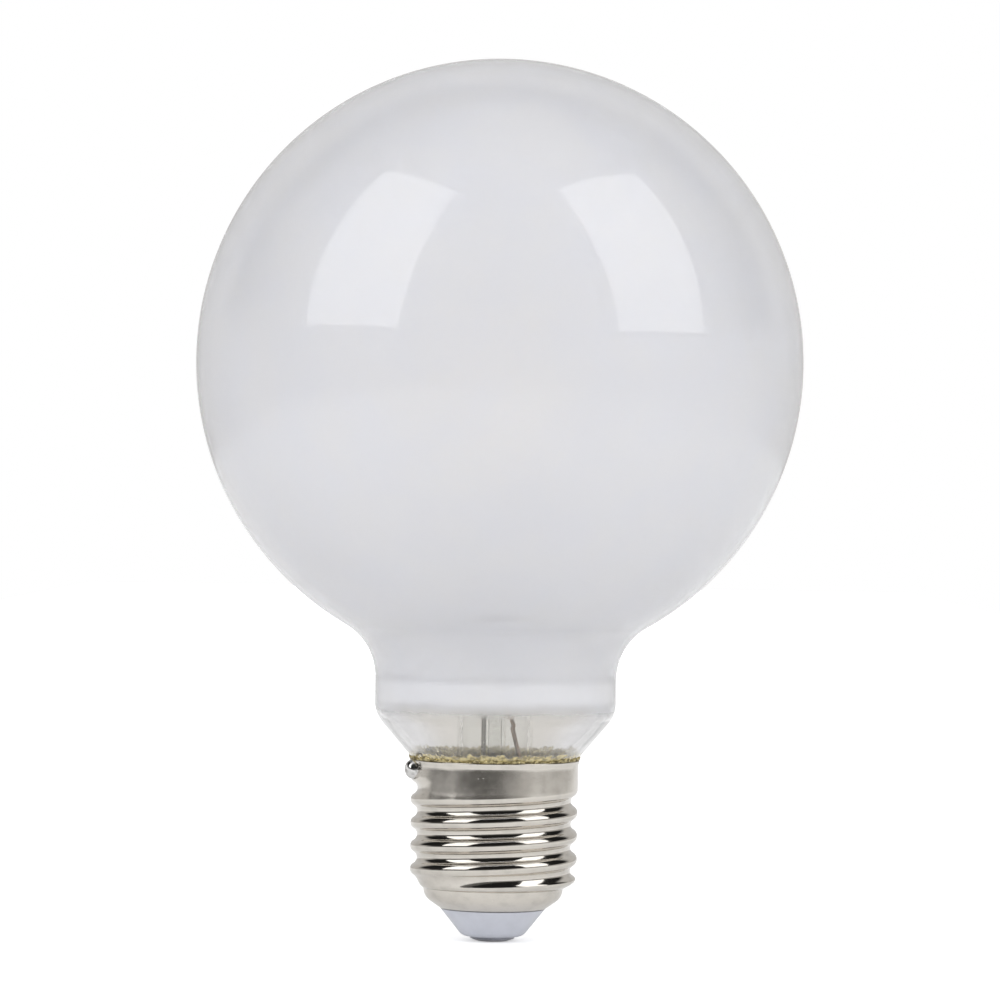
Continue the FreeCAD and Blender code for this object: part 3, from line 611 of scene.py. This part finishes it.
class GLOBELAMP_OT_capping_cement(bpy.types.Operator):
    """Press the ragged ring of capping cement"""

    bl_idname = "globelamp.capping_cement"
    bl_label = "Capping cement"

    def execute(self, context):
        cap = context.scene.globelamp_cap
        glass = context.scene.globelamp_glass
        segments = 480
        low = cap.rim - cap.cement_depth + 0.05 * MM
        inner = cap.thread_radius - cap.wall - 0.05 * MM
        seat = cap.rim + 0.03 * MM
        bond = 0.3 * MM
        rings = []
        for k in range(segments):
            a = 2 * pi * k / segments
            ragged = self.wander(a, 4.0, 0) * 0.5 + self.wander(a, 17.0, 5) * 0.5
            top = max(seat + 0.04 * MM, cap.cement_top + ragged * 1.5 * MM)
            glass_top = glass_radius(glass, top)
            lap = 0.12 * MM + 0.3 * MM * max(0.0, self.wander(a, 9.0, 9))
            bulge = min(cap.thread_radius + cap.lip + 0.08 * MM, glass_top + lap)
            rise = top - seat
            path = [
                (glass.taper_radius - bond, low), (inner, low), (inner, cap.rim - cap.lip_height),
                (inner + cap.lip, seat), (bulge, seat), (bulge, seat + rise * 0.5),
                (max(glass_top + 0.03 * MM, min(bulge, glass_top + 0.1 * MM)), seat + rise * 0.85),
                (glass_top - bond, top), (glass_radius(glass, seat) - bond, seat),
                (glass.taper_radius - bond, glass.taper_height),
                (glass.taper_radius - bond, glass.taper_height - 0.6 * MM),
            ]
            rings.append([Vector((r * cos(a), r * sin(a), z)) for r, z in path])
        rows = len(rings[0])
        points = []
        for row in range(rows):
            for ring in rings:
                spot = ring[row]
                if 4 <= row <= 6:
                    out = Vector((spot.x, spot.y, 0)).normalized()
                    spot = spot + out * noise.noise(spot / (0.4 * MM)) * 0.07 * MM
                points.append(spot)
        faces = ring_faces(rows, segments, True)
        piece = make_piece("cement_ring", points, faces, self.crust(cap), "capping_cement")
        piece.modifiers.new("rounding", "SUBSURF").render_levels = 1
        return {"FINISHED"}

    def wander(self, angle, rate, seed):
        """Uneven line round the ring, between minus one and one."""
        return noise.noise(Vector((cos(angle) * rate, sin(angle) * rate, seed)))

    def crust(self, cap):
        """Yellow-brown baked cement with pale grains, darker in its hollows, partly by its own mottle and
        partly by painted shade.
        """
        finish = Finish("capping cement", IOR=1.5)
        hollow = finish.span(finish.noise(0.8 * MM, 5), 0.42, 0.58)
        grain = finish.span(finish.cells(0.6 * MM), 0.12, 0.3)
        # Darker where the bump is low: the cement's own mottle and painted shade in its hollows.
        tone = finish.mix(hollow, cap.cement_dark, cap.cement_light)
        finish.set("Base Color", finish.mix(grain, shaded(cap.cement_light, 1.7), tone))
        finish.set("Roughness", finish.span(hollow, 0, 1, 0.62, 0.42, False))
        finish.bump(finish.maths("ADD", hollow, finish.noise(0.3 * MM, 4)), 0.12 * MM, 0.8)
        return finish.material


class GLOBELAMP_OT_side_solder(bpy.types.Operator):
    """Drop the bead of solder on the rim"""

    bl_idname = "globelamp.side_solder"
    bl_label = "Side solder"

    def execute(self, context):
        cap = context.scene.globelamp_cap
        out = Vector((cos(cap.solder_angle), sin(cap.solder_angle), 0))
        side = Vector((-out.y, out.x, 0))
        up = Vector((0, 0, 1))
        middle = out * cap.thread_radius + up * (cap.rim - cap.solder_drop)
        segments = 48
        rows = 32
        points = []
        for row in range(1, rows):
            polar = pi * row / rows
            for k in range(segments):
                a = 2 * pi * k / segments
                way = out * cos(polar) + (side * cos(a) + up * sin(a)) * sin(polar)
                swell = 1 - 0.22 * exp(-(polar / 0.42) ** 2) + 0.05 * noise.noise(way * 1.7)
                points.append(middle + way * cap.solder_radius * 0.97 * swell)
        points.append(middle + out * cap.solder_radius * 0.97 * 0.78)
        points.append(middle - out * cap.solder_radius * 0.97)
        faces = ring_faces(rows - 1, segments, False)
        near = len(points) - 2
        last = (rows - 2) * segments
        for k in range(segments):
            beside = (k + 1) % segments
            faces.append((beside, k, near))
            faces.append((last + k, last + beside, near + 1))
        make_piece("solder_bead", points, faces, self.tin(cap), "side_solder")
        return {"FINISHED"}

    def tin(self, cap):
        """Bright solder with a frosty bloom and traces of flux."""
        finish = Finish("solder", Metallic=1.0)
        bloom = finish.span(finish.noise(0.7 * MM, 4), 0.42, 0.68)
        finish.set("Base Color", finish.mix(bloom, cap.solder_colour, shaded(cap.solder_colour, 0.72)))
        finish.set("Roughness", finish.span(bloom, 0, 1, 0.1, 0.3, False))
        finish.bump(finish.noise(0.5 * MM, 3), 0.04 * MM, 0.5)
        return finish.material


class GLOBELAMP_OT_cap_tip(bpy.types.Operator):
    """Finish the insulator and the centre contact"""

    bl_idname = "globelamp.cap_tip"
    bl_label = "Cap tip"

    def execute(self, context):
        cap = context.scene.globelamp_cap
        opal = Finish("opal insulator", IOR=1.5, Coat_Weight=0.3, Coat_Roughness=0.12)
        cloud = opal.span(opal.noise(2.5 * MM, 4), 0.3, 0.7)
        opal.set("Base Color", opal.mix(cloud, cap.insulator_colour, shaded(cap.insulator_colour, 1.06)))
        opal.set("Roughness", opal.span(opal.noise(0.5 * MM, 3), 0.3, 0.7, 0.3, 0.42))
        opal.bump(opal.noise(1.4 * MM, 3), 0.03 * MM, 0.5)
        dress(opal.material, "insulator", "cap_insulator")
        pressed = Finish("pressed contact", Metallic=1.0)
        worn = pressed.span(pressed.noise(1.2 * MM, 5), 0.4, 0.7)
        pressed.set("Base Color", pressed.mix(worn, cap.contact_colour, shaded(cap.contact_colour, 1.3)))
        pressed.set("Roughness", pressed.span(pressed.noise(0.4 * MM, 4), 0.3, 0.7, 0.28, 0.5))
        pressed.bump(pressed.noise(0.15 * MM, 3, (1, 14, 1)), 0.012 * MM, 0.6)
        dress(pressed.material, "contact_metal", "centre_contact")
        return {"FINISHED"}


class GLOBELAMP_OT_driver(bpy.types.Operator):
    """Finish the driver board and its parts"""

    bl_idname = "globelamp.driver"
    bl_label = "Driver"

    def execute(self, context):
        inside = context.scene.globelamp_inside
        dress(self.laminate(inside), "board", "driver_board")
        dress(self.moulded(inside), "black_moulding", "bridge_rectifier", "driver_chip")
        dress(self.sleeve(inside), "capacitor_sleeve", "smoothing_capacitor")
        dress(self.chips(inside), "resistor_body", "chip_resistors")
        dress(self.lacquer(inside), "fuse_coat", "fuse_resistor")
        tinned = Finish("tinned legs", Metallic=1.0)
        dull = tinned.span(tinned.noise(0.4 * MM, 3), 0.3, 0.7)
        tinned.set("Base Color", tinned.mix(dull, inside.tinned, shaded(inside.tinned, 0.8)))
        tinned.set("Roughness", tinned.span(dull, 0, 1, 0.22, 0.42, False))
        tinned.bump(tinned.noise(0.2 * MM, 2, (1, 1, 6)), 0.01 * MM, 0.5)
        dress(tinned.material, "tinned_wire", "capacitor_legs", "fuse_leads")
        return {"FINISHED"}

    def laminate(self, inside):
        """Green lacquer over woven glass cloth."""
        finish = Finish("board laminate", IOR=1.5, Coat_Weight=0.4, Coat_Roughness=0.15)
        weave = []
        for direction in ("X", "Y"):
            wave = finish.add("ShaderNodeTexWave", bands_direction=direction)
            finish.put(wave.inputs["Vector"], finish.stretched([1 / (0.9 * MM)] * 3))
            wave.inputs["Scale"].default_value = 0.5
            wave.inputs["Distortion"].default_value = 0.6
            weave.append(wave.outputs["Fac"])
        cloth = finish.maths("MULTIPLY", weave[0], weave[1])
        tone = finish.mix(cloth, inside.board, shaded(inside.board, 1.35))
        cloud = finish.span(finish.noise(3 * MM, 3), 0.35, 0.65)
        finish.set("Base Color", finish.mix(cloud, tone, shaded(inside.board, 0.85)))
        finish.set("Roughness", finish.span(cloth, 0, 1, 0.36, 0.5, False))
        finish.bump(cloth, 0.02 * MM, 0.5)
        return finish.material

    def moulded(self, inside):
        """Black moulded epoxy with a matt grain."""
        finish = Finish("black moulding", IOR=1.5)
        grain = finish.noise(0.12 * MM, 3)
        tone = finish.mix(grain, shaded(inside.moulding, 0.7), shaded(inside.moulding, 1.5))
        finish.set("Base Color", tone)
        finish.set("Roughness", finish.span(grain, 0.3, 0.7, 0.5, 0.7))
        finish.bump(grain, 0.02 * MM, 0.7)
        return finish.material

    def sleeve(self, inside):
        """Shrunk sleeve with a pale stripe down one side, open at the metal top."""
        finish = Finish("capacitor sleeve", IOR=1.5)
        low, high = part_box("smoothing_capacitor")
        stripe = finish.span(finish.axis("X"), high.x - 0.9 * MM, high.x - 0.7 * MM)
        wrap = finish.noise(1.5 * MM, 3, (1, 1, 4))
        tone = finish.mix(wrap, shaded(inside.sleeve, 0.8), shaded(inside.sleeve, 1.3))
        finish.set("Base Color", finish.mix(stripe, tone, (0.55, 0.56, 0.58)))
        finish.set("Roughness", finish.span(wrap, 0.3, 0.7, 0.28, 0.42))
        finish.bump(wrap, 0.05 * MM, 0.5)
        return finish.material

    def chips(self, inside):
        """Chip resistors with tinned ends and a dark glazed middle."""
        finish = Finish("chip resistors", IOR=1.5)
        low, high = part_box("chip_resistors")
        middle = (low.y + high.y) / 2
        reach = finish.maths("ABSOLUTE", finish.maths("SUBTRACT", finish.axis("Y"), middle))
        ends = finish.span(reach, 1.1 * MM, 1.15 * MM)
        cloud = finish.noise(0.5 * MM, 3)
        glaze = finish.mix(cloud, shaded(inside.moulding, 0.8), shaded(inside.moulding, 1.5))
        finish.set("Base Color", finish.mix(ends, glaze, inside.ceramic))
        finish.set("Metallic", ends)
        finish.set("Roughness", finish.span(cloud, 0.3, 0.7, 0.22, 0.36))
        finish.bump(cloud, 0.02 * MM, 0.5)
        return finish.material

    def lacquer(self, inside):
        """Lacquered resistor with three plain colour bands."""
        finish = Finish("fuse lacquer", IOR=1.5, Coat_Weight=0.5, Coat_Roughness=0.1)
        low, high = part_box("fuse_resistor")
        height = finish.axis("Z")
        cloud = finish.noise(0.8 * MM, 3)
        tone = finish.mix(cloud, shaded(inside.fuse, 0.85), shaded(inside.fuse, 1.15))
        bands = ((0.3, (0.32, 0.16, 0.05)), (0.5, (0.02, 0.02, 0.02)), (0.7, (0.55, 0.4, 0.1)))
        for share_up, band in bands:
            spot = low.z + (high.z - low.z) * share_up
            reach = finish.maths("ABSOLUTE", finish.maths("SUBTRACT", height, spot))
            tone = finish.mix(finish.span(reach, 0.3 * MM, 0.36 * MM, 1, 0), tone, band)
        finish.set("Base Color", tone)
        finish.set("Roughness", finish.span(cloud, 0.3, 0.7, 0.3, 0.45))
        finish.bump(cloud, 0.05 * MM, 0.5)
        return finish.material


class GLOBELAMP_OT_studio(bpy.types.Operator):
    """Set the floor, the light and the camera"""

    bl_idname = "globelamp.studio"
    bl_label = "Studio"

    def execute(self, context):
        studio = context.scene.globelamp_studio
        context.scene.view_settings.view_transform = "Standard"
        self.surround(context.scene, studio)
        self.floor(context.scene, studio)
        self.walls(context.scene, studio)
        self.light(context.scene, studio, "left", studio.softbox)
        self.light(context.scene, studio, "right", studio.softbox)
        fill = self.light(context.scene, studio, "fill", studio.fill)
        fill.visible_glossy = False
        camera = bpy.data.cameras.new("camera")
        camera.lens = studio.lens
        camera.sensor_width = 36
        viewer = bpy.data.objects.new("camera", camera)
        viewer.location = (studio.aside, -studio.distance, studio.height)
        viewer.rotation_euler = (pi / 2, studio.roll, 0)
        context.scene.collection.objects.link(viewer)
        context.scene.camera = viewer
        return {"FINISHED"}

    def seen(self, tree, *ways):
        """One for rays of these kinds, nought for light that only falls on things."""
        path = tree.nodes.new("ShaderNodeLightPath")
        total = path.outputs[ways[0]]
        for way in ways[1:]:
            most = tree.nodes.new("ShaderNodeMath")
            most.operation = "MAXIMUM"
            tree.links.new(total, most.inputs[0])
            tree.links.new(path.outputs[way], most.inputs[1])
            total = most.outputs["Value"]
        return total

    def surround(self, scene, studio):
        """Even light from all round, white where the camera, metal and glass see it."""
        world = bpy.data.worlds.new("studio")
        world.use_nodes = True
        tree = world.node_tree
        light = tree.nodes["Background"]
        light.inputs["Color"].default_value = (1, 1, 1, 1)
        level = tree.nodes.new("ShaderNodeMapRange")
        level.inputs["To Min"].default_value = studio.ambient
        level.inputs["To Max"].default_value = 1
        shown = self.seen(tree, "Is Camera Ray", "Is Glossy Ray", "Is Transmission Ray")
        tree.links.new(shown, level.inputs["Value"])
        tree.links.new(level.outputs["Result"], light.inputs["Strength"])
        scene.world = world

    def floor(self, scene, studio):
        """Pale table that keeps the lamp's shadow, with its edge in front of the lamp."""
        finish = Finish("pale floor", Roughness=0.9, Specular_IOR_Level=0.1, Emission_Color=(1, 1, 1))
        mottle = finish.noise(0.02, 3)
        finish.set("Base Color", finish.mix(mottle, shaded(studio.floor_colour, 0.995), studio.floor_colour))
        shown = self.seen(finish.tree, "Is Camera Ray", "Is Transmission Ray")
        mirrored = finish.maths("MULTIPLY", self.seen(finish.tree, "Is Glossy Ray"), studio.floor_mirrored)
        shown = finish.maths("MAXIMUM", shown, mirrored)
        lift = finish.span(finish.axis("Y"), 0.1, 1.5, studio.floor_lift, 2 * studio.floor_lift)
        finish.set("Emission Strength", finish.maths("MULTIPLY", shown, lift))
        edge = -studio.table_edge
        half = studio.table_width / 2
        corners = [(-half, edge, 0), (half, edge, 0), (half, 3, 0), (-half, 3, 0)]
        self.prop(scene, "floor", corners, [(0, 1, 2, 3)], finish.material)

    def prop(self, scene, name, points, faces, material):
        """Piece of the stage."""
        mesh = bpy.data.meshes.new(name)
        mesh.from_pydata(points, [], faces)
        mesh.materials.append(material)
        made = bpy.data.objects.new(name, mesh)
        scene.collection.objects.link(made)
        return made

    def walls(self, scene, studio):
        """Walls that only shiny surfaces see: pale behind the lamp, dim before it and black above."""
        reach = 2.6
        across = 48
        heights = [radians(e) for e in range(-40, 89, 2)]
        points = []
        for e in heights:
            for k in range(across):
                a = 2 * pi * k / across
                points.append((reach * cos(e) * cos(a), reach * cos(e) * sin(a), reach * sin(e)))
        finish = Finish("studio walls", Base_Color=(0, 0, 0), Roughness=1, Specular_IOR_Level=0)
        height = finish.axis("Z")
        aside = finish.axis("X")
        left = finish.span(finish.axis("Y"), 0.2, 0.9, studio.wall_front, studio.wall_side)
        right = finish.span(aside, 0.0, 2.2, studio.wall_front, studio.wall_side)
        level = finish.maths("MAXIMUM", left, right)
        skirt = finish.span(height, -0.36, -0.46, 0.0, studio.wall_skirt)
        level = finish.maths("MAXIMUM", level, skirt)
        dark = finish.span(height, reach * sin(radians(6)), reach * sin(radians(13)))
        open_top = finish.span(height, reach * sin(radians(66)), reach * sin(radians(78)), 1.0, 0.0)
        kept = finish.maths("SUBTRACT", 1.0, finish.maths("MULTIPLY", dark, open_top))
        front = finish.maths("ADD", finish.maths("MULTIPLY", level, kept), 0.015)
        before = finish.span(finish.axis("Y"), 1.8, 1.2)
        behind = finish.maths("MULTIPLY", finish.maths("SUBTRACT", 1.0, before), studio.wall_back)
        finish.set("Emission Color", (1, 0.985, 0.965))
        finish.set("Emission Strength", finish.maths("ADD", finish.maths("MULTIPLY", front, before), behind))
        finish.material.cycles.emission_sampling = "NONE"
        walls = self.prop(scene, "walls", points, ring_faces(len(heights), across, False), finish.material)
        walls.visible_camera = False
        walls.visible_diffuse = False
        walls.visible_transmission = False
        walls.visible_shadow = False

    def light(self, scene, studio, name, brightness):
        """Flat rectangular light with the size, place and facing that the studio gives for its name."""
        size, place, facing = (getattr(studio, name + part) for part in ("_size", "_place", "_facing"))
        light = bpy.data.lights.new(name, "AREA")
        light.shape = "RECTANGLE"
        light.size, light.size_y = size
        light.energy = brightness * pi * size[0] * size[1]
        made = bpy.data.objects.new(name, light)
        made.location = place
        made.rotation_euler = Vector(facing).to_track_quat("-Z", "Y").to_euler()
        made.visible_camera = False
        scene.collection.objects.link(made)
        return made


class GLOBELAMP_PT_panel(bpy.types.Panel):
    """Pieces of the lamp and their settings"""

    bl_idname = "GLOBELAMP_PT_panel"
    bl_label = "Globe Lamp"
    bl_space_type = "VIEW_3D"
    bl_region_type = "UI"
    bl_category = "Globe Lamp"

    def draw(self, context):
        for operator in operators:
            self.layout.operator(operator.bl_idname)
        for key, group in settings.items():
            box = self.layout.box()
            box.label(text=group.__doc__)
            for name in group.__annotations__:
                box.prop(getattr(context.scene, key), name)


settings = {
    "globelamp_glass": GlassSettings,
    "globelamp_cap": CapSettings,
    "globelamp_inside": InsideSettings,
    "globelamp_studio": StudioSettings,
}
operators = (
    GLOBELAMP_OT_glass_globe,
    GLOBELAMP_OT_glass_stem,
    GLOBELAMP_OT_wires,
    GLOBELAMP_OT_filaments,
    GLOBELAMP_OT_screw_shell,
    GLOBELAMP_OT_capping_cement,
    GLOBELAMP_OT_side_solder,
    GLOBELAMP_OT_cap_tip,
    GLOBELAMP_OT_driver,
    GLOBELAMP_OT_studio,
)


def register():
    for made in (*settings.values(), *operators, GLOBELAMP_PT_panel):
        bpy.utils.register_class(made)
    for key, group in settings.items():
        setattr(bpy.types.Scene, key, PointerProperty(type=group))


def unregister():
    for key in settings:
        delattr(bpy.types.Scene, key)
    for made in (GLOBELAMP_PT_panel, *reversed(operators), *reversed(settings.values())):
        bpy.utils.unregister_class(made)


def main():
    """Build every piece and the studio."""
    register()
    bpy.ops.globelamp.glass_globe()
    bpy.ops.globelamp.glass_stem()
    bpy.ops.globelamp.wires()
    bpy.ops.globelamp.filaments()
    bpy.ops.globelamp.screw_shell()
    bpy.ops.globelamp.capping_cement()
    bpy.ops.globelamp.side_solder()
    bpy.ops.globelamp.cap_tip()
    bpy.ops.globelamp.driver()
    bpy.ops.globelamp.studio()


if __name__ == "__main__":
    main()
